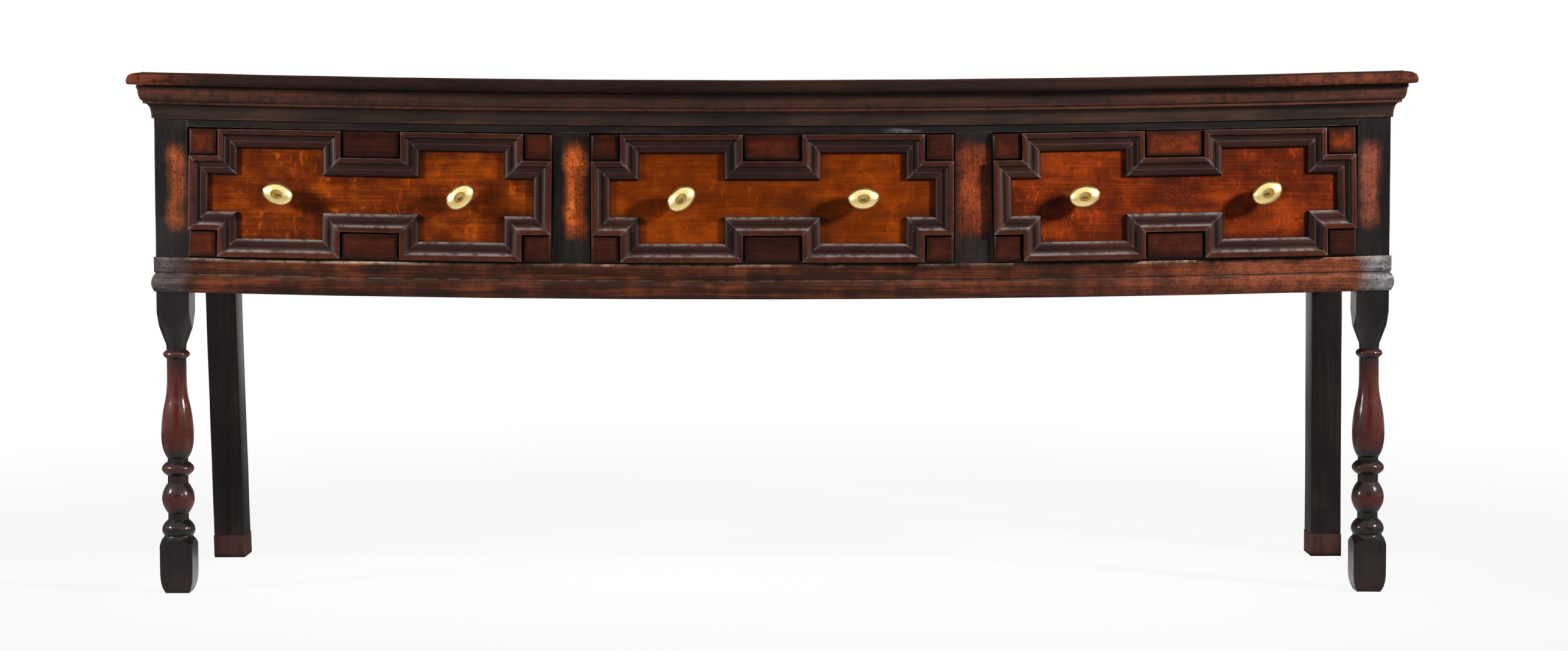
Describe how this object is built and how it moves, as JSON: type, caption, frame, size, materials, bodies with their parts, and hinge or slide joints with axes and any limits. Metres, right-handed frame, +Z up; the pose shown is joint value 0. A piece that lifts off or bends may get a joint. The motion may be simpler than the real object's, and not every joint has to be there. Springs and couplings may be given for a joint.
{
  "type": "dresser base",
  "caption": "Long oak dresser base on turned front legs, with a row of drawers faced in mitred geometric mouldings and fitted with oval brass knobs.",
  "frame": {"origin": "on the floor under the middle of the top", "axes": "+X to the right along the front, +Y from the front to the back, +Z up"},
  "size_m": [1.9388, 0.5201, 0.7938],
  "materials": {
    "oak_top": "dark waxed oak, worn along the edge",
    "oak_case": "dark waxed oak, rubbed red-brown",
    "oak_foot_tip": "redder, drier oak",
    "oak_bearer": "dry unpolished oak",
    "oak_peg": "dark oak pegs",
    "oak_field": "polished orange-brown oak",
    "oak_lining": "dry unpolished oak",
    "oak_moulding": "dark waxed oak with light arrises",
    "oak_plaque": "polished red-brown oak",
    "brass": "polished",
    "iron": "dull black"
  },
  "bodies": {
    "case": {"top_board_front": "oak_top", "top_board_rear": "oak_top", "front_leg_left": "oak_case", "front_leg_right": "oak_case", "rear_leg_left": "oak_case", "rear_leg_right": "oak_case", "front_top_rail": "oak_case", "front_bottom_rail": "oak_case", "muntin_left": "oak_case", "muntin_right": "oak_case", "end_board_left": "oak_case", "end_board_right": "oak_case", "back_board": "oak_case", "cornice_front": "oak_case", "cornice_left": "oak_case", "cornice_right": "oak_case", "base_moulding_front": "oak_case", "base_moulding_left": "oak_case", "base_moulding_right": "oak_case", "rear_foot_tip_left": "oak_foot_tip", "rear_foot_tip_right": "oak_foot_tip", "end_bearer_left": "oak_bearer", "end_bearer_right": "oak_bearer", "centre_bearer_left": "oak_bearer", "centre_bearer_right": "oak_bearer", "top_pegs": "oak_peg", "frame_pegs": "oak_peg"},
    "left_drawer": {"left_drawer_front": "oak_field", "left_drawer_side_left": "oak_lining", "left_drawer_side_right": "oak_lining", "left_drawer_back": "oak_lining", "left_drawer_bottom": "oak_lining", "left_drawer_mouldings": "oak_moulding", "left_drawer_plaques": "oak_plaque", "left_drawer_knob_left": "brass", "left_drawer_knob_right": "brass", "left_drawer_knob_nuts": "iron", "left_drawer_nails": "iron"},
    "middle_drawer": {"middle_drawer_front": "oak_field", "middle_drawer_side_left": "oak_lining", "middle_drawer_side_right": "oak_lining", "middle_drawer_back": "oak_lining", "middle_drawer_bottom": "oak_lining", "middle_drawer_mouldings": "oak_moulding", "middle_drawer_plaques": "oak_plaque", "middle_drawer_knob_left": "brass", "middle_drawer_knob_right": "brass", "middle_drawer_knob_nuts": "iron", "middle_drawer_nails": "iron"},
    "right_drawer": {"right_drawer_front": "oak_field", "right_drawer_side_left": "oak_lining", "right_drawer_side_right": "oak_lining", "right_drawer_back": "oak_lining", "right_drawer_bottom": "oak_lining", "right_drawer_mouldings": "oak_moulding", "right_drawer_plaques": "oak_plaque", "right_drawer_knob_left": "brass", "right_drawer_knob_right": "brass", "right_drawer_knob_nuts": "iron", "right_drawer_nails": "iron"}
  },
  "joints": [
    {"name": "left_drawer_slide", "type": "slide", "parent": "case", "child": "left_drawer", "axis": [0, -1, 0], "range_m": [0, 0.3]},
    {"name": "middle_drawer_slide", "type": "slide", "parent": "case", "child": "middle_drawer", "axis": [0, -1, 0], "range_m": [0, 0.3]},
    {"name": "right_drawer_slide", "type": "slide", "parent": "case", "child": "right_drawer", "axis": [0, -1, 0], "range_m": [0, 0.3]}
  ]
}
